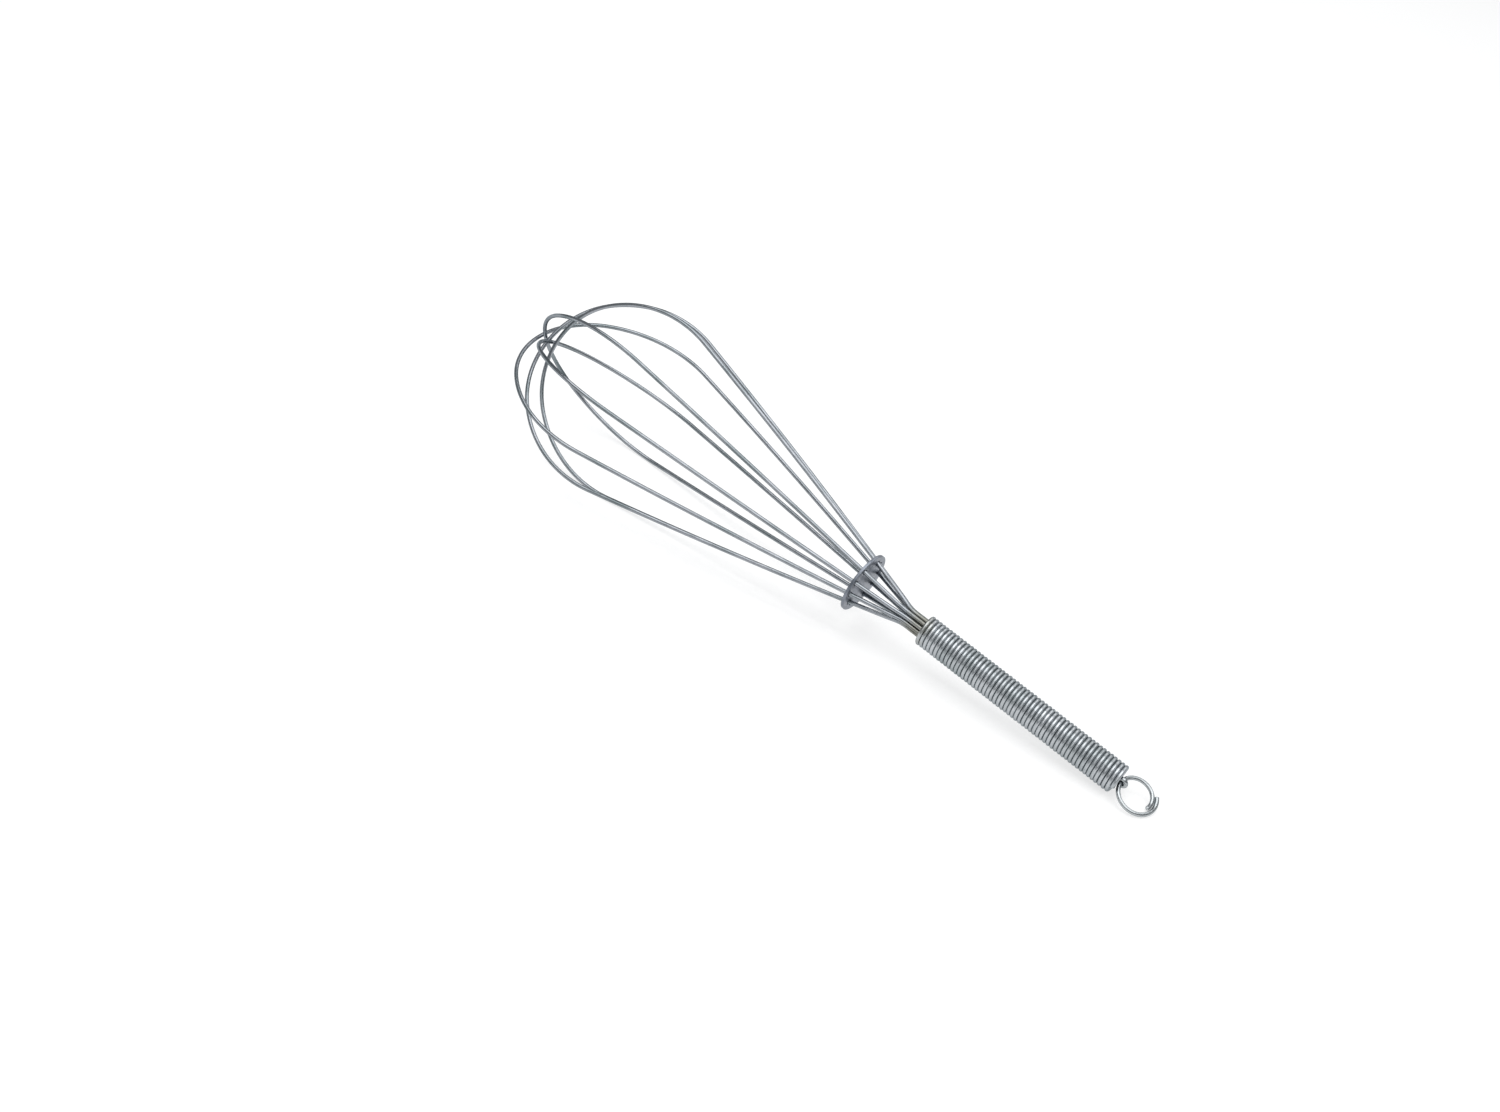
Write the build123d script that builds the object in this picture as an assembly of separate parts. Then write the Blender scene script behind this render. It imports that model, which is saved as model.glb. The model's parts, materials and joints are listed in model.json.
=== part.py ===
from build123d import *
import math
import os

# Balloon whisk of polished steel wire, lying on a table.
# Five wire loops cross at the tip and run back through a spacer disc into the handle.
# The handle is one wire wound round their ten legs. A split pin in its end holds a hanging ring.
# The pieces are drawn along the X axis, with the mouth of the handle at zero, the loops towards -X and
# the ring towards +X. At the end the whisk is laid down on two loops and the end of its handle.
# Sizes are in millimetres, angles in degrees.

# Wire
WIRE = 1.4  # diameter of every wire
WIRE_SIDES = 6  # flats that stand for the round of a bent wire
FIT = 0.15  # clearance of the split pin to the legs and to the ring that it holds

# Handle, one wire wound round the legs
HANDLE_LENGTH = 77.7  # over the winding
LEG_GAP = 0.27  # between neighbouring legs in the handle
WINDING_SLACK = 0.4  # from the legs to the winding
COIL_TURNS = 17  # the real wire makes 55, wound close

# Wire loops, from the innermost at the tip to the outermost
LOOP_PLANES = (-26.7, 62.1, 133.5, 28.4, 95.1)  # turn of each about the axis, from upright
LEG_SETBACK = 4.0  # from the end of the handle to the ends of the legs
NECK_LENGTH = 4.5  # straight legs in front of the handle
FLANK_START = 13.0  # from the handle to where a leg has bent into the plane of its loop
FLANK_START_RADIUS = 4.6  # distance of a leg from the axis there
FLANK_START_SLOPE = 15.9
FLANK_LENGTH = 116.8  # from the handle to where the flank of the innermost loop ends
FLANK_SLOPE = 13.3  # slope of a flank at that end
SHOULDER_RADIUS = 41.7
CAP_SLOPE = 42.2  # slope at which the shoulder meets the round cap

# Spacer disc
DISC_RIM = 1.8  # outside of the holes
DISC_THICKNESS = 1.0
DISC_STANDOFF = 24.8  # from the handle to the middle of the disc
HOLE_SLACK = 0.25  # from a leg to the wall of its hole

# Hanging ring, a wire of one turn and a lap
RING_RADIUS = 5.9  # centre line of the half that the pin holds
RING_LAP_GAP = 0.1  # between the two strands of the lap
RING_INNER_END = 16.0  # angle by which the inner end goes past the far side
RING_OUTER_END = 41.0  # the same for the outer end, the other way
RING_STANDOFF = 0.2  # centre of the ring's wire beyond the end of the handle
RING_ROLL = 13.0  # turn of the pin and the ring about the line of the handle
TABLE_GAP = 0.05  # left under the ring, so that the flats of the wire don't lift the handle

# Split pin that holds the ring
PIN_DEPTH = 24.0  # from the end of the handle to the ends of the pin
PIN_FLARE_RADIUS = 2.0  # radius on which a leg of the pin opens into its eye

SETTLING_ROUNDS = 20  # in which the slope of the lying whisk and the ring's droop are found
GAP_POINTS = 48  # points on a turn at which the winding is measured

wire_radius = WIRE / 2
leg_step = 180 / len(LOOP_PLANES)  # the ten legs stand evenly round the handle
first_leg = sum(LOOP_PLANES) / len(LOOP_PLANES) - leg_step * (len(LOOP_PLANES) - 1) / 2
leg_turns = [first_leg + leg_step * sorted(LOOP_PLANES).index(turn) for turn in LOOP_PLANES]
leg_circle = (WIRE + LEG_GAP) / (2 * math.sin(math.radians(leg_step / 2)))
coil_radius = leg_circle + WINDING_SLACK + WIRE
handle_radius = coil_radius + wire_radius
coil_pitch = (HANDLE_LENGTH - WIRE) / COIL_TURNS
pivot_x = HANDLE_LENGTH + RING_STANDOFF
lap_shift = (WIRE + RING_LAP_GAP) / 2
start_turn = math.radians(FLANK_START_SLOPE)
flank_turn = math.radians(FLANK_SLOPE)
cap_turn = math.radians(CAP_SLOPE)


def swept_wire(path):
    """A faceted round wire along a path."""
    start = Plane(origin=path @ 0, z_dir=path % 0)
    return sweep(start * RegularPolygon(wire_radius, WIRE_SIDES), path=path)


def doubled_path(half):
    """Whole path, from a half that ends square to the axis and is repeated half a turn round it."""
    other = [edge.rotate(Axis.X, 180) for edge in half]
    return Wire(half + other[::-1])


def upright(lines):
    return [Plane.XZ * line.edge() for line in lines]


def biarc(start, start_way, end, end_way):
    """Two arcs that run smoothly from one point and direction to another."""
    reach = end - start
    turn = 1 - start_way.dot(end_way)
    along = reach.dot(start_way + end_way)
    arm = (math.sqrt(along**2 + 2 * turn * reach.dot(reach)) - along) / (2 * turn)
    corner = start + start_way * arm
    last_corner = end - end_way * arm
    middle = (corner + last_corner) / 2
    first = Edge.make_tangent_arc(start, start_way, middle)
    return [first, Edge.make_tangent_arc(middle, last_corner - corner, end)]


def coil_point(turns):
    angle = 2 * math.pi * turns
    across = Vector(0, math.cos(angle), math.sin(angle)) * coil_radius
    return across + Vector(wire_radius + coil_pitch * turns, 0, 0)


def coil_way(turns):
    angle = 2 * math.pi * turns
    round_way = Vector(0, -math.sin(angle), math.cos(angle)) * 2 * math.pi * coil_radius
    return (round_way + Vector(coil_pitch, 0, 0)).normalized()


def coil_gap(path):
    """Least gap of the winding to itself, between points that lie about one turn apart."""
    steps = range(COIL_TURNS * GAP_POINTS + 1)
    spots = [path @ (step / (COIL_TURNS * GAP_POINTS)) for step in steps]
    nearest = math.inf
    for ahead in range(GAP_POINTS * 3 // 4, GAP_POINTS * 5 // 4):
        nearest = min(nearest, *((a - b).length for a, b in zip(spots, spots[ahead:])))
    return nearest - WIRE


def make_coil():
    arcs = []
    for half_turn in range(2 * COIL_TURNS):
        turns = half_turn / 2
        after = (half_turn + 1) / 2
        arcs += biarc(coil_point(turns), coil_way(turns), coil_point(after), coil_way(after))
    path = Wire(arcs)
    print("least gap of the winding to itself", round(coil_gap(path), 3))
    return swept_wire(path)


def flank_length(order):
    """Each loop ends one wire further out than the loop inside it."""
    return FLANK_LENGTH + order * WIRE


def flank_radius(order):
    """Radius of the long gentle arc of a flank."""
    run = flank_length(order) - FLANK_START
    return run / (math.sin(start_turn) - math.sin(flank_turn))


def leg_radius(order, forward):
    """Distance of a leg from the axis, at a distance in front of the handle on its flank."""
    bend = flank_radius(order)
    slope = math.asin(math.sin(start_turn) - (forward - FLANK_START) / bend)
    return FLANK_START_RADIUS + bend * (math.cos(slope) - math.cos(start_turn))


def make_loop(order):
    aside = math.radians(leg_turns[order] - LOOP_PLANES[order])
    across = Vector(0, -math.sin(aside), math.cos(aside)) * leg_circle
    leg_end = across + Vector(-NECK_LENGTH, 0, 0)
    leg = Edge.make_line(across + Vector(HANDLE_LENGTH - LEG_SETBACK, 0, 0), leg_end)
    start = (-FLANK_START, FLANK_START_RADIUS)
    start_way = (-math.cos(start_turn), math.sin(start_turn))
    flank = JernArc(start, start_way, flank_radius(order), FLANK_START_SLOPE - FLANK_SLOPE)
    shoulder = JernArc(flank @ 1, flank % 1, SHOULDER_RADIUS, FLANK_SLOPE + CAP_SLOPE)
    cap_radius = (shoulder @ 1).Y / math.cos(cap_turn)
    cap = JernArc(shoulder @ 1, shoulder % 1, cap_radius, 90 - CAP_SLOPE)
    balloon = upright([flank, shoulder, cap])
    neck = biarc(leg_end, leg % 1, balloon[0] @ 0, balloon[0] % 0)
    path = doubled_path([leg, *neck, *balloon])
    return Rotation(LOOP_PLANES[order], 0, 0) * swept_wire(path)


def make_disc():
    hole_radius = wire_radius + HOLE_SLACK
    widest = max(leg_radius(order, DISC_STANDOFF) for order in range(len(LOOP_PLANES)))
    disc = Cylinder(widest + hole_radius + DISC_RIM, DISC_THICKNESS)
    hole = Cylinder(hole_radius, 2 * DISC_THICKNESS)
    for order, turn in enumerate(LOOP_PLANES):
        place = leg_radius(order, DISC_STANDOFF)
        pair = [Pos(place, 0, 0) * hole, Pos(-place, 0, 0) * hole]
        disc -= [Rotation(0, 0, turn) * one for one in pair]
    return Plane((-DISC_STANDOFF, 0, 0), x_dir=(0, 0, 1), z_dir=(1, 0, 0)) * disc


def make_pin():
    leg_height = leg_circle - WIRE - FIT
    eye_radius = WIRE + FIT
    centres = PIN_FLARE_RADIUS + eye_radius
    flare = math.degrees(math.acos((leg_height + PIN_FLARE_RADIUS) / centres))
    flare_start = pivot_x - centres * math.sin(math.radians(flare))
    leg = Line((HANDLE_LENGTH - PIN_DEPTH, leg_height), (flare_start, leg_height))
    opening = JernArc(leg @ 1, leg % 1, PIN_FLARE_RADIUS, flare)
    eye = JernArc(opening @ 1, opening % 1, eye_radius, -(90 + flare))
    return swept_wire(doubled_path(upright([leg, opening, eye])))


def make_ring():
    """The ring straight behind the handle, with the wire that the pin holds at the pivot."""
    near_centre = Vector(pivot_x + RING_RADIUS, 0)
    lap_centre = near_centre + Vector(0, lap_shift)
    inner = CenterArc(lap_centre, RING_RADIUS - lap_shift, -RING_INNER_END, 90 + RING_INNER_END)
    near = CenterArc(near_centre, RING_RADIUS, 90, 180)
    outer = CenterArc(lap_centre, RING_RADIUS + lap_shift, 270, 90 + RING_OUTER_END)
    return swept_wire(Wire([inner.edge(), near.edge(), outer.edge()]))


def lying_slope():
    """Slope of the axis when the lowest leg and the end of the handle lie on the table."""
    order, tilt = min(enumerate(LOOP_PLANES), key=lambda loop: abs(loop[1]))
    share = math.cos(math.radians(tilt))
    lowest_turn = coil_point(COIL_TURNS - 1 / 4)
    slope = 0.0
    for _ in range(SETTLING_ROUNDS):
        touch = math.atan(math.tan(slope) / share)
        rise = SHOULDER_RADIUS * (math.cos(touch) - math.cos(flank_turn))
        forward = flank_length(order) + SHOULDER_RADIUS * (math.sin(flank_turn) - math.sin(touch))
        depth = (leg_radius(order, flank_length(order)) + rise) * share
        slope = math.atan((depth - coil_radius) / (forward + lowest_turn.X))
    return math.degrees(slope)


def ring_height(slope, droop):
    """Height at which the lowest point of the ring's circle lies."""
    tilt, hang, roll = math.radians(slope), math.radians(droop), math.radians(RING_ROLL)
    fall = math.cos(hang) * math.sin(tilt) + math.sin(hang) * math.cos(roll) * math.cos(tilt)
    flat = math.cos(hang) * math.cos(roll) * math.cos(tilt) - math.sin(hang) * math.sin(tilt)
    reach = RING_RADIUS + lap_shift
    return handle_radius / math.cos(tilt) - reach * (fall + math.sqrt(1 - flat**2)) - wire_radius


def ring_droop(slope):
    """Angle by which the ring hangs from the line of the handle until it lies on the table."""
    least, most = 0.0, 90 - slope
    for _ in range(SETTLING_ROUNDS):
        droop = (least + most) / 2
        if ring_height(slope, droop) > TABLE_GAP:
            least = droop
        else:
            most = droop
    return droop


slope = lying_slope()
droop = ring_droop(slope)
pivot = Pos(pivot_x, 0, 0)

pieces = {f"wire_loop_{order + 1}": make_loop(order) for order in range(len(LOOP_PLANES))}
pieces["spacer_disc"] = make_disc()
pieces["handle_coil"] = make_coil()
roll = Rotation(RING_ROLL, 0, 0)
pieces["split_pin"] = roll * make_pin()
pieces["hanging_ring"] = pivot * roll * Rotation(0, droop, 0) * pivot.inverse() * make_ring()

# Laid down, with the origin on the table under the middle of the whisk
laid = {name: Rotation(0, slope, 0) * piece for name, piece in pieces.items()}
box = Compound(list(laid.values())).bounding_box()
settle = Pos(-box.center().X, -box.center().Y, -box.min.Z)
os.makedirs("parts", exist_ok=True)
for name, piece in laid.items():
    export_step(settle * piece, f"parts/{name}.step")

pivot_place = (settle * Rotation(0, slope, 0) * pivot).position
mouth_place = (settle * Rotation(0, slope, 0)).position
print("radius of the handle", round(handle_radius, 3))
print("slope of the axis", round(slope, 3), "droop of the ring", round(droop, 3))
print("size", [round(side, 2) for side in box.size])
print("pivot of the ring", [round(value, 3) for value in pivot_place])
swing_axis = (Rotation(0, slope, 0) * roll * Pos(0, WIRE, 0)).position.normalized()
print("axis of its swing", [round(value, 5) for value in swing_axis])
print("mouth of the handle", [round(value, 3) for value in mouth_place])
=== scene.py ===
import json
import math

import bmesh
import bpy
from mathutils import Matrix, Vector


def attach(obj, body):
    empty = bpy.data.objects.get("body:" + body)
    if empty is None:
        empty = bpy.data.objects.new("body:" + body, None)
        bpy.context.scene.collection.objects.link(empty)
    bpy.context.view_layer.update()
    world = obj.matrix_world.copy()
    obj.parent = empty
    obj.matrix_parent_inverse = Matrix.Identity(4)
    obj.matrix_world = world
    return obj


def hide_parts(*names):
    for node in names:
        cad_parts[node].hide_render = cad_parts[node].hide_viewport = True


# A balloon whisk of polished steel wire, lying on a white table.
# Every wire is drawn round, along the same line as its solid, with the mouth of the handle at zero
# and the ring towards +X. Then it is laid down as the solids are. Lengths are in millimetres there.

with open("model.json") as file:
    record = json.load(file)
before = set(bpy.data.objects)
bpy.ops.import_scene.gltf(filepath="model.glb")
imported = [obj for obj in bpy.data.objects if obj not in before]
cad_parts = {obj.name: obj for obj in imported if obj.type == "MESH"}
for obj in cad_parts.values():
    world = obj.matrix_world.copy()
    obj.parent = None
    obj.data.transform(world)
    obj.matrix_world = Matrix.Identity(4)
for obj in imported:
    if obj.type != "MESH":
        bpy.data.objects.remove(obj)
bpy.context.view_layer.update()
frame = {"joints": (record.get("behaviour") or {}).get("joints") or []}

MM = 0.001
WIRE = 1.4
WIRE_SIDES = 16
CUT_EDGE = 0.14  # how far the edge of a cut end is broken
SHARP_ANGLE = 40.0
MOST_POINTS = 100000  # more than any piece has

HANDLE_LENGTH = 77.7
WINDING_RADIUS = 4.502  # centre line of the wound wire
HALF_TURNS = 109
HALF_TURN_STEPS = 22
SEAM_GAP = 0.002  # half turns that meet this closely are one wire

LOOP_PLANES = (-26.7, 62.1, 133.5, 28.4, 95.1)
LEG_TURNS = (-13.52, 58.48, 130.48, 22.48, 94.48)  # where the legs stand in the handle
LEG_CIRCLE = 2.702
LEG_SETBACK = 4.0
NECK_LENGTH = 4.5
FLANK_START = 13.0
FLANK_START_RADIUS = 4.6
FLANK_START_SLOPE = 15.9
FLANK_LENGTH = 116.8
FLANK_SLOPE = 13.3
SHOULDER_RADIUS = 41.7
CAP_SLOPE = 42.2

# Steps in which each run of a loop is bent
LEG_STEPS = 4
NECK_STEPS = 8
FLANK_STEPS = 12
SHOULDER_STEPS = 24
CAP_STEPS = 44

DISC_RADIUS = 10.68
DISC_THICKNESS = 1.0
DISC_STANDOFF = 24.8
DISC_EDGE = 0.16
DISC_SIDES = 96
HOLE_RADIUS = 0.95
HOLE_SIDES = 24

RING_RADIUS = 5.9
RING_LAP_SHIFT = 0.75
RING_INNER_END = 16.0
RING_OUTER_END = 41.0
RING_DROOP = 10.715
RING_ROLL = 13.0
PIVOT_X = 77.9

PIN_DEPTH = 24.0
PIN_FLARE_RADIUS = 2.0
PIN_EYE_RADIUS = 1.55
PIN_LEG_HEIGHT = 1.152

LYING_SLOPE = 7.079

wire_radius = WIRE / 2
pivot = Vector(frame["joints"][0]["pos_m"])
laid = (
    Matrix.Translation(pivot)
    @ Matrix.Rotation(math.radians(LYING_SLOPE), 4, "Y")
    @ Matrix.Scale(MM, 4)
    @ Matrix.Translation((-PIVOT_X, 0, 0))
)


def place_in_list(face):
    """Number a face by its three lowest points, so that the list is the same each run."""
    low, middle, high = sorted(vert.index for vert in face.verts)[:3]
    return (low * MOST_POINTS + middle) * MOST_POINTS + high


def keep(bm, name, material, body, node, place=Matrix()):
    """Turn a finished bmesh into a piece that stands for a node and rides on a body."""
    bm.transform(laid @ place)
    bmesh.ops.recalc_face_normals(bm, faces=bm.faces)
    bm.verts.index_update()
    bm.faces.sort(key=place_in_list)
    for face in bm.faces:
        face.smooth = True
    mesh = bpy.data.meshes.new(name)
    bm.to_mesh(mesh)
    bm.free()
    piece = bpy.data.objects.new(name, mesh)
    bpy.context.scene.collection.objects.link(piece)
    mesh.materials.append(material)
    mesh.set_sharp_from_angle(angle=math.radians(SHARP_ANGLE))
    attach(piece, body)
    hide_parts(node)


class BentWire:
    """A round wire that is bent run after run, as on a bending bench."""

    def __init__(self, start, way, left):
        self.bm = bmesh.new()
        self.point = Vector(start)
        self.way = Vector(way)
        self.left = Vector(left)
        self.axis = self.way.cross(self.left)
        self.stations = [0.0]
        turned = Matrix((self.left, self.axis, self.way)).transposed().to_4x4()
        placed = Matrix.Translation(start) @ turned
        bmesh.ops.create_circle(self.bm, segments=WIRE_SIDES, radius=wire_radius, matrix=placed)
        self.ring = self.bm.edges[:]

    def straight(self, length, steps=1):
        for _ in range(steps):
            grown = bmesh.ops.extrude_edge_only(self.bm, edges=self.ring)["geom"]
            verts = [part for part in grown if isinstance(part, bmesh.types.BMVert)]
            bmesh.ops.translate(self.bm, verts=verts, vec=self.way * (length / steps))
            known = set(verts)
            self.ring = [
                part
                for part in grown
                if isinstance(part, bmesh.types.BMEdge) and set(part.verts) <= known
            ]
            self.stations.append(self.stations[-1] + length / steps)
        self.point += self.way * length

    def bend(self, radius, degrees, steps):
        """Bend to the left on a radius; negative degrees bend to the right."""
        side = math.copysign(1, degrees)
        centre = self.point + self.left * radius * side
        turn = math.radians(degrees)
        grown = bmesh.ops.spin(
            self.bm, geom=self.ring, cent=centre, axis=self.axis, angle=turn, steps=steps
        )["geom_last"]
        self.ring = [part for part in grown if isinstance(part, bmesh.types.BMEdge)]
        rotation = Matrix.Rotation(turn, 3, self.axis)
        self.point = centre + rotation @ (self.point - centre)
        self.way = rotation @ self.way
        self.left = rotation @ self.left
        for _ in range(steps):
            self.stations.append(self.stations[-1] + radius * abs(turn) / steps)

    def reach(self, goal, steps):
        """Bend on the one arc that leads from here to the goal."""
        chord = Vector(goal) - self.point
        self.left = (chord - self.way * chord.dot(self.way)).normalized()
        self.axis = self.way.cross(self.left)
        rise, run = chord.dot(self.left), chord.dot(self.way)
        self.bend(chord.length_squared / (2 * rise), math.degrees(2 * math.atan2(rise, run)), steps)

    def level(self):
        """From here on the bends lie in the upright plane."""
        self.axis = Vector((0, 1, 0))
        self.left = self.axis.cross(self.way)

    def close(self):
        write_skin(self.bm, self.stations)
        cut_ends(self.bm)
        return self.bm


def write_skin(bm, stations):
    """Write where each point lies along and round its wire."""
    skin = bm.verts.layers.float_vector.new("skin")
    for number, vert in enumerate(bm.verts):
        station, side = divmod(number, WIRE_SIDES)
        angle = 2 * math.pi * side / WIRE_SIDES
        round_wire = Vector((0, math.cos(angle), math.sin(angle))) * wire_radius
        vert[skin] = round_wire + Vector((stations[station], 0, 0))
    return skin


def break_edges(bm, edges, offset, segments):
    bmesh.ops.bevel(
        bm,
        geom=edges,
        offset=offset,
        offset_type="OFFSET",
        segments=segments,
        profile=0.5,
        affect="EDGES",
        material=-1,
    )


def cut_ends(bm):
    """Close the cut ends of a wire and break their edges."""
    open_edges = [edge for edge in bm.edges if edge.is_boundary]
    ends = bmesh.ops.edgeloop_fill(bm, edges=open_edges)["faces"]
    rims = [edge for face in ends for edge in face.edges]
    break_edges(bm, rims, CUT_EDGE, segments=2)


def flank_radius(order):
    spread = math.sin(math.radians(FLANK_START_SLOPE)) - math.sin(math.radians(FLANK_SLOPE))
    return (FLANK_LENGTH + order * WIRE - FLANK_START) / spread


def leg_radius(order):
    """Distance of a leg from the axis where it goes through the disc."""
    start = math.radians(FLANK_START_SLOPE)
    slope = math.asin(math.sin(start) - (DISC_STANDOFF - FLANK_START) / flank_radius(order))
    return FLANK_START_RADIUS + flank_radius(order) * (math.cos(slope) - math.cos(start))


def neck_joint(leg_end, flank_start, flank_way):
    """Point where the two arcs meet that lead a straight leg into the plane of its loop."""
    leg_way = Vector((-1, 0, 0))
    reach = flank_start - leg_end
    turn = 1 - leg_way.dot(flank_way)
    along = reach.dot(leg_way + flank_way)
    arm = (math.sqrt(along**2 + 2 * turn * reach.length_squared) - along) / (2 * turn)
    return (leg_end + leg_way * arm + flank_start - flank_way * arm) / 2


def make_loop(order, material):
    """Leg, neck, flank, shoulder and cap of one loop, and the same back to its other leg."""
    aside = math.radians(LEG_TURNS[order] - LOOP_PLANES[order])
    across = Vector((0, -math.sin(aside), math.cos(aside))) * LEG_CIRCLE
    leg_end = across + Vector((-NECK_LENGTH, 0, 0))
    flank_start = Vector((-FLANK_START, 0, FLANK_START_RADIUS))
    slope = math.radians(FLANK_START_SLOPE)
    joint = neck_joint(leg_end, flank_start, Vector((-math.cos(slope), 0, math.sin(slope))))
    leg = HANDLE_LENGTH - LEG_SETBACK + NECK_LENGTH
    other_side = Matrix.Rotation(math.pi, 3, "X")

    leg_start = across + Vector((HANDLE_LENGTH - LEG_SETBACK, 0, 0))
    wire = BentWire(leg_start, (-1, 0, 0), across.normalized())
    wire.straight(leg, LEG_STEPS)
    wire.reach(joint, NECK_STEPS)
    wire.reach(flank_start, NECK_STEPS)
    wire.level()
    wire.bend(flank_radius(order), FLANK_SLOPE - FLANK_START_SLOPE, FLANK_STEPS)
    wire.bend(SHOULDER_RADIUS, -(FLANK_SLOPE + CAP_SLOPE), SHOULDER_STEPS)
    cap_radius = wire.point.z / math.cos(math.radians(CAP_SLOPE))
    wire.bend(cap_radius, -2 * (90 - CAP_SLOPE), CAP_STEPS)
    wire.bend(SHOULDER_RADIUS, -(FLANK_SLOPE + CAP_SLOPE), SHOULDER_STEPS)
    wire.bend(flank_radius(order), FLANK_SLOPE - FLANK_START_SLOPE, FLANK_STEPS)
    wire.reach(other_side @ joint, NECK_STEPS)
    wire.reach(other_side @ leg_end, NECK_STEPS)
    wire.straight(leg, LEG_STEPS)
    name = f"wire_loop_{order + 1}"
    turned = Matrix.Rotation(math.radians(LOOP_PLANES[order]), 4, "X")
    keep(wire.close(), f"loop_wire_{order + 1}", material, "whisk", name, turned)


def make_winding(material):
    """One wire wound close round the legs, with turns that lie a little unevenly."""
    bm = bmesh.new()
    slant = math.atan(WIRE / (2 * math.pi * WINDING_RADIUS))
    start = Matrix.Translation((wire_radius, WINDING_RADIUS, 0)) @ Matrix.Rotation(slant, 4, "Y")
    bmesh.ops.create_circle(bm, segments=WIRE_SIDES, radius=wire_radius, matrix=start)
    bmesh.ops.spin(
        bm,
        geom=bm.edges[:],
        cent=(0, 0, 0),
        axis=(1, 0, 0),
        dvec=(WIRE / 2 / HALF_TURN_STEPS, 0, 0),
        angle=math.pi,
        steps=HALF_TURN_STEPS,
    )
    half_turn = math.hypot(WIRE / 2, math.pi * WINDING_RADIUS)
    stations = [half_turn * step / HALF_TURN_STEPS for step in range(HALF_TURN_STEPS + 1)]
    skin = write_skin(bm, stations)
    onward = Matrix.Translation((WIRE / 2, 0, 0)) @ Matrix.Rotation(math.pi, 4, "X")
    last = bm.verts[:] + bm.edges[:] + bm.faces[:]
    for _ in range(HALF_TURNS - 1):
        last = bmesh.ops.duplicate(bm, geom=last)["geom"]
        verts = [part for part in last if isinstance(part, bmesh.types.BMVert)]
        bmesh.ops.transform(bm, matrix=onward, verts=verts)
        for vert in verts:
            vert[skin] = vert[skin] + Vector((half_turn, 0, 0))
    bmesh.ops.remove_doubles(bm, verts=bm.verts[:], dist=SEAM_GAP)
    for vert in bm.verts:
        turn = vert[skin].x / (2 * half_turn)
        lift = 0.022 * math.sin(turn * 2.9) + 0.018 * math.sin(turn * 1.13 + 1.0)
        lean = 0.03 * math.sin(turn * 0.83) + 0.02 * math.sin(turn * 2.27 + 2.0)
        across = Vector((0, vert.co.y, vert.co.z)).normalized()
        held = min(turn, HALF_TURNS / 2 - turn, 1)
        vert.co += across * lift + Vector((lean * held, 0, 0))
    cut_ends(bm)
    keep(bm, "handle_winding", material, "whisk", "handle_coil")


def make_disc(material):
    """A stamped disc: an outline and ten holes, filled, given its thickness and broken edges."""
    bm = bmesh.new()
    bmesh.ops.create_circle(bm, segments=DISC_SIDES, radius=DISC_RADIUS)
    for order, turn in enumerate(LOOP_PLANES):
        place = Matrix.Rotation(math.radians(turn), 4, "Z")
        for side in (-1, 1):
            spot = Matrix.Translation((side * leg_radius(order), 0, 0))
            bmesh.ops.create_circle(
                bm, segments=HOLE_SIDES, radius=HOLE_RADIUS, matrix=place @ spot
            )
    bmesh.ops.triangle_fill(bm, use_beauty=True, use_dissolve=False, edges=bm.edges[:])
    grown = bmesh.ops.extrude_face_region(bm, geom=bm.faces[:])["geom"]
    verts = [part for part in grown if isinstance(part, bmesh.types.BMVert)]
    bmesh.ops.translate(bm, verts=verts, vec=(0, 0, DISC_THICKNESS))
    bmesh.ops.translate(bm, verts=bm.verts[:], vec=(0, 0, -DISC_THICKNESS / 2))
    bmesh.ops.recalc_face_normals(bm, faces=bm.faces)
    corners = [edge for edge in bm.edges if edge.calc_face_angle(0) > math.radians(60)]
    break_edges(bm, corners, DISC_EDGE, segments=3)
    turned = Matrix(((0, 0, 1, -DISC_STANDOFF), (0, -1, 0, 0), (1, 0, 0, 0), (0, 0, 0, 1)))
    keep(bm, "stamped_disc", material, "whisk", "spacer_disc", turned)


def make_pin(material):
    """A wire bent back on itself: two legs in the handle and an eye round the ring."""
    centres = PIN_FLARE_RADIUS + PIN_EYE_RADIUS
    flare = math.degrees(math.acos((PIN_LEG_HEIGHT + PIN_FLARE_RADIUS) / centres))
    flare_start = PIVOT_X - centres * math.sin(math.radians(flare))
    leg = flare_start - (HANDLE_LENGTH - PIN_DEPTH)
    wire = BentWire((HANDLE_LENGTH - PIN_DEPTH, 0, PIN_LEG_HEIGHT), (1, 0, 0), (0, 0, 1))
    wire.straight(leg, steps=2)
    wire.bend(PIN_FLARE_RADIUS, flare, 10)
    wire.bend(PIN_EYE_RADIUS, -2 * (90 + flare), 40)
    wire.bend(PIN_FLARE_RADIUS, flare, 10)
    wire.straight(leg, steps=2)
    rolled = Matrix.Rotation(math.radians(RING_ROLL), 4, "X")
    keep(wire.close(), "ring_pin", material, "whisk", "split_pin", rolled)


def make_ring(material):
    """One turn of wire whose ends lap, hung on the eye of the pin."""
    centre = Vector((PIVOT_X + RING_RADIUS, RING_LAP_SHIFT, 0))
    inner = RING_RADIUS - RING_LAP_SHIFT
    outer = RING_RADIUS + RING_LAP_SHIFT
    angle = -math.radians(RING_INNER_END)
    start = centre + Vector((math.cos(angle), math.sin(angle), 0)) * inner
    way = Vector((-math.sin(angle), math.cos(angle), 0))
    left = Vector((-math.cos(angle), -math.sin(angle), 0))
    wire = BentWire(start, way, left)
    wire.bend(inner, 90 + RING_INNER_END, 30)
    wire.bend(RING_RADIUS, 180, 52)
    wire.bend(outer, 90 + RING_OUTER_END, 40)
    droop = Matrix.Rotation(math.radians(RING_DROOP), 4, "Y")
    rolled = Matrix.Rotation(math.radians(RING_ROLL), 4, "X")
    to_pivot = Matrix.Translation((PIVOT_X, 0, 0))
    hung = to_pivot @ rolled @ droop @ to_pivot.inverted()
    keep(wire.close(), "ring_wire", material, "ring", "hanging_ring", hung)


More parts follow.
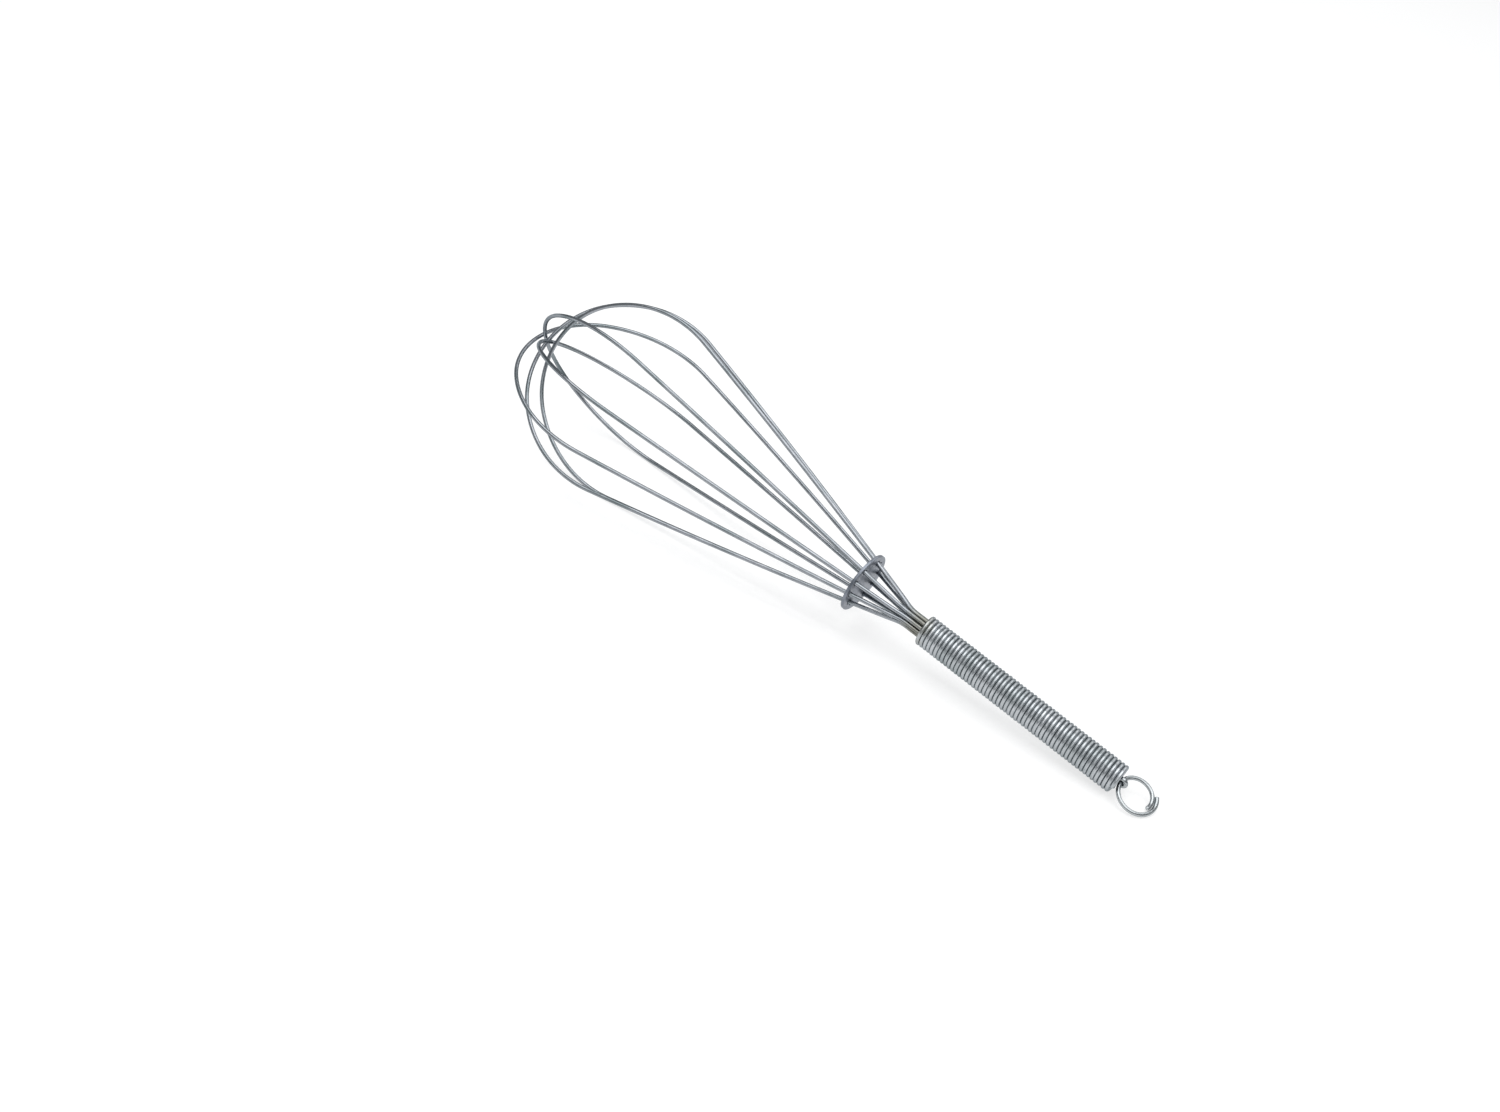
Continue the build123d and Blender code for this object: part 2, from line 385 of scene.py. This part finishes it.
def add(tree, kind, **values):
    """A node with its settings and the values of its unlinked inputs."""
    node = tree.nodes.new(kind)
    for name, value in values.items():
        if hasattr(node, name):
            setattr(node, name, value)
        else:
            node.inputs[name.replace("_", " ")].default_value = value
    return node


def new_group(name, inputs, outputs):
    group = bpy.data.node_groups.new(name, "ShaderNodeTree")
    for label, kind, value in inputs:
        socket = group.interface.new_socket(label, in_out="INPUT", socket_type=kind)
        if value is not None:
            socket.default_value = value
    for label, kind in outputs:
        group.interface.new_socket(label, in_out="OUTPUT", socket_type=kind)
    return group, group.nodes.new("NodeGroupInput"), group.nodes.new("NodeGroupOutput")


def drawn_lines_group():
    """Fine lines that the drawing die leaves along a wire, as a mask from 0 to 1."""
    group, given, made = new_group(
        "drawn_lines",
        [("Skin", "NodeSocketVector", None), ("Fineness", "NodeSocketFloat", 5.0)],
        [("Mask", "NodeSocketFloat")],
    )
    stretch = add(group, "ShaderNodeVectorMath", operation="MULTIPLY")
    stretch.inputs[1].default_value = (0.03, 1.0, 1.0)
    grain = add(group, "ShaderNodeTexNoise", Detail=3.0, Roughness=0.6)
    firm = add(group, "ShaderNodeMapRange", interpolation_type="SMOOTHSTEP")
    firm.inputs["From Min"].default_value = 0.36
    firm.inputs["From Max"].default_value = 0.64
    link = group.links.new
    link(given.outputs["Skin"], stretch.inputs[0])
    link(stretch.outputs["Vector"], grain.inputs["Vector"])
    link(given.outputs["Fineness"], grain.inputs["Scale"])
    link(grain.outputs["Fac"], firm.inputs["Value"])
    link(firm.outputs["Result"], made.inputs["Mask"])
    return group


def use_marks_group():
    """Cloudy film of handling and small rubbed spots, as two masks from 0 to 1."""
    group, given, made = new_group(
        "use_marks",
        [("Place", "NodeSocketVector", None), ("Cloud Scale", "NodeSocketFloat", 60.0)],
        [("Film", "NodeSocketFloat"), ("Rubs", "NodeSocketFloat")],
    )
    cloud = add(group, "ShaderNodeTexNoise", Detail=4.0, Roughness=0.55, Distortion=0.4)
    soften = add(group, "ShaderNodeMapRange", interpolation_type="SMOOTHSTEP")
    soften.inputs["From Min"].default_value = 0.42
    soften.inputs["From Max"].default_value = 0.7
    spots = add(group, "ShaderNodeTexNoise", Scale=900.0, Detail=2.0, Roughness=0.5)
    sharpen = add(group, "ShaderNodeMapRange", interpolation_type="SMOOTHSTEP")
    sharpen.inputs["From Min"].default_value = 0.6
    sharpen.inputs["From Max"].default_value = 0.74
    link = group.links.new
    link(given.outputs["Place"], cloud.inputs["Vector"])
    link(given.outputs["Cloud Scale"], cloud.inputs["Scale"])
    link(given.outputs["Place"], spots.inputs["Vector"])
    link(cloud.outputs["Fac"], soften.inputs["Value"])
    link(spots.outputs["Fac"], sharpen.inputs["Value"])
    link(soften.outputs["Result"], made.inputs["Film"])
    link(sharpen.outputs["Result"], made.inputs["Rubs"])
    return group


def mouth_shade_group():
    """Painted shade, yellowish and brown, that darkens the steel round the mouth of the handle
    where the wires crowd into it.
    """
    group, given, made = new_group(
        "mouth_shade",
        [
            ("Place", "NodeSocketVector", None),
            ("Steel", "NodeSocketColor", (0.5, 0.5, 0.5, 1.0)),
            ("Reach", "NodeSocketFloat", 0.014),
        ],
        [("Color", "NodeSocketColor")],
    )
    # The painted shade is darkest just out of the mouth of the handle and fades over the reach
    mouth = laid @ Vector((-1.0, 0, 0))
    away = add(group, "ShaderNodeVectorMath", operation="DISTANCE")
    away.inputs[1].default_value = mouth
    ragged = add(group, "ShaderNodeTexNoise", Scale=260.0, Detail=2.0)
    shift = add(group, "ShaderNodeMath", operation="MULTIPLY_ADD")
    shift.inputs[1].default_value = 0.008
    share = add(group, "ShaderNodeMath", operation="DIVIDE")
    ramp = add(group, "ShaderNodeValToRGB")
    ramp.color_ramp.elements[0].position = 0.25
    ramp.color_ramp.elements[0].color = (0.44, 0.4, 0.31, 1)
    ramp.color_ramp.elements[1].position = 1.0
    ramp.color_ramp.elements[1].color = (1, 1, 1, 1)
    mid_shade = ramp.color_ramp.elements.new(0.62)
    mid_shade.color = (0.76, 0.72, 0.61, 1)
    tint = add(group, "ShaderNodeMix", data_type="RGBA", blend_type="MULTIPLY")
    tint.inputs["Factor"].default_value = 1.0
    link = group.links.new
    link(given.outputs["Place"], away.inputs[0])
    link(given.outputs["Place"], ragged.inputs["Vector"])
    link(ragged.outputs["Fac"], shift.inputs[0])
    link(away.outputs["Value"], shift.inputs[2])
    link(shift.outputs["Value"], share.inputs[0])
    link(given.outputs["Reach"], share.inputs[1])
    link(share.outputs["Value"], ramp.inputs["Fac"])
    link(given.outputs["Steel"], tint.inputs["A"])
    link(ramp.outputs["Color"], tint.inputs["B"])
    link(tint.outputs["Result"], made.inputs["Color"])
    return group


drawn_lines = drawn_lines_group()
use_marks = use_marks_group()
mouth_shade = mouth_shade_group()


def new_material(name):
    material = bpy.data.materials.new(name)
    material.use_nodes = True
    tree = material.node_tree
    return material, tree, tree.nodes["Principled BSDF"]


def use_group(tree, group):
    node = tree.nodes.new("ShaderNodeGroup")
    node.node_tree = group
    return node


def wire_steel(name, bright, dull, gloss, film_gloss, lines, mouth_shade_reach):
    """Drawn stainless wire in two tones, with the roughness of clean and of filmed steel."""
    material, tree, shader = new_material(name)
    link = tree.links.new
    shader.inputs["Metallic"].default_value = 1.0
    shader.inputs["Specular Tint"].default_value = (0.45, 0.48, 0.5, 1)
    coords = add(tree, "ShaderNodeTexCoord")
    skin = add(tree, "ShaderNodeAttribute", attribute_name="skin")
    streaks = use_group(tree, drawn_lines)
    streaks.inputs["Fineness"].default_value = lines
    marks = use_group(tree, use_marks)
    tone = add(tree, "ShaderNodeMix", data_type="RGBA")
    tone.inputs["A"].default_value = (*bright, 1)
    tone.inputs["B"].default_value = (*dull, 1)
    mixed = add(tree, "ShaderNodeMath", operation="MULTIPLY_ADD")
    mixed.inputs[1].default_value = 0.45
    rough = add(tree, "ShaderNodeMapRange")
    rough.inputs["To Min"].default_value = gloss
    rough.inputs["To Max"].default_value = film_gloss
    rub = add(tree, "ShaderNodeMath", operation="MULTIPLY_ADD")
    rub.inputs[1].default_value = 0.14
    bump = add(tree, "ShaderNodeBump", Strength=0.18, Distance=0.00004)
    half_film = add(tree, "ShaderNodeMath", operation="MULTIPLY")
    half_film.inputs[1].default_value = 0.55
    link(skin.outputs["Vector"], streaks.inputs["Skin"])
    link(coords.outputs["Object"], marks.inputs["Place"])
    link(marks.outputs["Film"], half_film.inputs[0])
    link(streaks.outputs["Mask"], mixed.inputs[0])
    link(half_film.outputs["Value"], mixed.inputs[2])
    link(mixed.outputs["Value"], tone.inputs["Factor"])
    link(marks.outputs["Film"], rough.inputs["Value"])
    link(marks.outputs["Rubs"], rub.inputs[0])
    link(rough.outputs["Result"], rub.inputs[2])
    link(rub.outputs["Value"], shader.inputs["Roughness"])
    link(streaks.outputs["Mask"], bump.inputs["Height"])
    link(bump.outputs["Normal"], shader.inputs["Normal"])
    # Painted shade round the mouth of the handle, where the wires crowd in
    if mouth_shade_reach:
        tint = use_group(tree, mouth_shade)
        tint.inputs["Reach"].default_value = mouth_shade_reach
        link(coords.outputs["Object"], tint.inputs["Place"])
        link(tone.outputs["Result"], tint.inputs["Steel"])
        link(tint.outputs["Color"], shader.inputs["Base Color"])
    else:
        link(tone.outputs["Result"], shader.inputs["Base Color"])
    return material


def stamped_steel(name):
    """Satin sheet steel of the disc, tumbled after stamping."""
    material, tree, shader = new_material(name)
    link = tree.links.new
    shader.inputs["Metallic"].default_value = 1.0
    coords = add(tree, "ShaderNodeTexCoord")
    marks = use_group(tree, use_marks)
    marks.inputs["Cloud Scale"].default_value = 140.0
    pits = add(tree, "ShaderNodeTexNoise", Scale=2600.0, Detail=3.0, Roughness=0.6)
    tone = add(tree, "ShaderNodeMix", data_type="RGBA")
    tone.inputs["A"].default_value = (0.25, 0.27, 0.31, 1)
    tone.inputs["B"].default_value = (0.165, 0.185, 0.215, 1)
    rough = add(tree, "ShaderNodeMapRange")
    rough.inputs["To Min"].default_value = 0.32
    rough.inputs["To Max"].default_value = 0.46
    bump = add(tree, "ShaderNodeBump", Strength=0.25, Distance=0.00005)
    link(coords.outputs["Object"], marks.inputs["Place"])
    link(coords.outputs["Object"], pits.inputs["Vector"])
    link(marks.outputs["Film"], tone.inputs["Factor"])
    link(tone.outputs["Result"], shader.inputs["Base Color"])
    link(pits.outputs["Fac"], rough.inputs["Value"])
    link(rough.outputs["Result"], shader.inputs["Roughness"])
    link(pits.outputs["Fac"], bump.inputs["Height"])
    link(bump.outputs["Normal"], shader.inputs["Normal"])
    return material


# The last number is how far the painted shade round the mouth of the handle reaches, in metres
loop_steel = wire_steel(
    "loop_steel", (0.375, 0.39, 0.42), (0.175, 0.21, 0.22), 0.15, 0.28, 4.0, 0.012
)
winding_steel = wire_steel(
    "winding_steel", (0.54, 0.56, 0.583), (0.31, 0.35, 0.357), 0.3, 0.4, 4.0, 0.011
)
ring_steel = wire_steel(
    "ring_steel", (0.475, 0.5, 0.513), (0.325, 0.35, 0.362), 0.16, 0.28, 4.0, None
)
disc_steel = stamped_steel("disc_steel")

for order in range(len(LOOP_PLANES)):
    make_loop(order, loop_steel)
make_disc(disc_steel)
make_winding(winding_steel)
make_pin(ring_steel)
make_ring(ring_steel)

# Camera, from the lines of the photograph: the axis of the whisk and two directions across it,
# as seen by a camera that looks along +Z with Y down
AXIS_SEEN = Vector((0.74621, 0.58737, -0.31333))
ACROSS_SEEN = Vector((0.6157, -0.78791, -0.01068))
NEAR_SEEN = Vector((-0.25314, -0.18495, -0.94959))
MOUTH_SEEN = Vector((55.0, 23.07, 572.66))
PLANES_TURN = 41.2  # from the first of the two directions to upright

turn = math.radians(PLANES_TURN)
upright_seen = ACROSS_SEEN * math.cos(turn) + NEAR_SEEN * math.sin(turn)
side_seen = ACROSS_SEEN * math.sin(turn) - NEAR_SEEN * math.cos(turn)
seen = Matrix((AXIS_SEEN, side_seen, upright_seen)).transposed()
to_camera = seen @ Matrix.Rotation(math.radians(LYING_SLOPE), 3, "Y").inverted()
to_lens = Matrix(((1, 0, 0), (0, -1, 0), (0, 0, -1))) @ to_camera
lens_turn = to_lens.inverted()
mouth = laid @ Vector((0, 0, 0))
camera_data = bpy.data.cameras.new("camera")
camera_data.sensor_width = 36.0
camera_data.lens = 43.2
camera_data.clip_start = 0.01
camera = bpy.data.objects.new("camera", camera_data)
camera.location = mouth - to_camera.inverted() @ (MOUTH_SEEN * MM)
camera.rotation_euler = lens_turn.to_euler()
bpy.context.scene.collection.objects.link(camera)
bpy.context.scene.camera = camera


def make_floor():
    """A white table. Rays from the camera, and those that metal reflects, see it as white paper."""
    bm = bmesh.new()
    bmesh.ops.create_grid(bm, x_segments=1, y_segments=1, size=FLOOR_REACH)
    bmesh.ops.translate(bm, verts=bm.verts, vec=(0, 0, -FLOOR_DROP))
    mesh = bpy.data.meshes.new("table_top")
    bm.to_mesh(mesh)
    bm.free()
    floor = bpy.data.objects.new("table_top", mesh)
    bpy.context.scene.collection.objects.link(floor)
    material, tree, shader = new_material("white_paper")
    shader.inputs["Base Color"].default_value = (*FLOOR_GREY, 1)
    shader.inputs["Roughness"].default_value = 0.9
    shader.inputs["Specular IOR Level"].default_value = 0.1
    shader.inputs["Emission Color"].default_value = (1, 1, 1, 1)
    path = add(tree, "ShaderNodeLightPath")
    seen_or_glossy = add(tree, "ShaderNodeMath", operation="MAXIMUM")
    any_of_three = add(tree, "ShaderNodeMath", operation="MAXIMUM")
    level = add(tree, "ShaderNodeMath", operation="MULTIPLY")
    level.inputs[1].default_value = FLOOR_GLOW
    link = tree.links.new
    link(path.outputs["Is Camera Ray"], seen_or_glossy.inputs[0])
    link(path.outputs["Is Glossy Ray"], seen_or_glossy.inputs[1])
    link(seen_or_glossy.outputs["Value"], any_of_three.inputs[0])
    link(path.outputs["Is Transmission Ray"], any_of_three.inputs[1])
    link(any_of_three.outputs["Value"], level.inputs[0])
    link(level.outputs["Value"], shader.inputs["Emission Strength"])
    mesh.materials.append(material)


def make_lamp(name, place, width, height, power):
    data = bpy.data.lights.new(name, "AREA")
    data.shape = "RECTANGLE"
    data.size = width
    data.size_y = height
    data.energy = power
    lamp = bpy.data.objects.new(name, data)
    lamp.location = place
    aim = Vector(LAMPS_AIM) - Vector(place)
    lamp.rotation_euler = aim.to_track_quat("-Z", "Y").to_euler()
    bpy.context.scene.collection.objects.link(lamp)


# The table and the softboxes, in metres and watts
FLOOR_REACH = 30.0
FLOOR_DROP = 0.0001  # so that it doesn't cut what rests on it
FLOOR_GREY = (0.4, 0.4, 0.4)
FLOOR_GLOW = 0.65
LAMPS_AIM = (0, 0, 0.02)

make_floor()
make_lamp("softbox_above", (0.0, -0.03, 0.95), 1.6, 0.85, 8.2)
make_lamp("softbox_front", (0.1, -0.95, 0.85), 1.3, 0.7, 2.6)
make_lamp("softbox_back", (0.1, 0.9, 0.7), 1.2, 0.75, 3.0)

world = bpy.data.worlds.new("studio")
bpy.context.scene.world = world
world.use_nodes = True
world.node_tree.nodes["Background"].inputs["Color"].default_value = (0.31, 0.32, 0.33, 1)
world.node_tree.nodes["Background"].inputs["Strength"].default_value = 1.0

bpy.context.scene.view_settings.view_transform = "Standard"
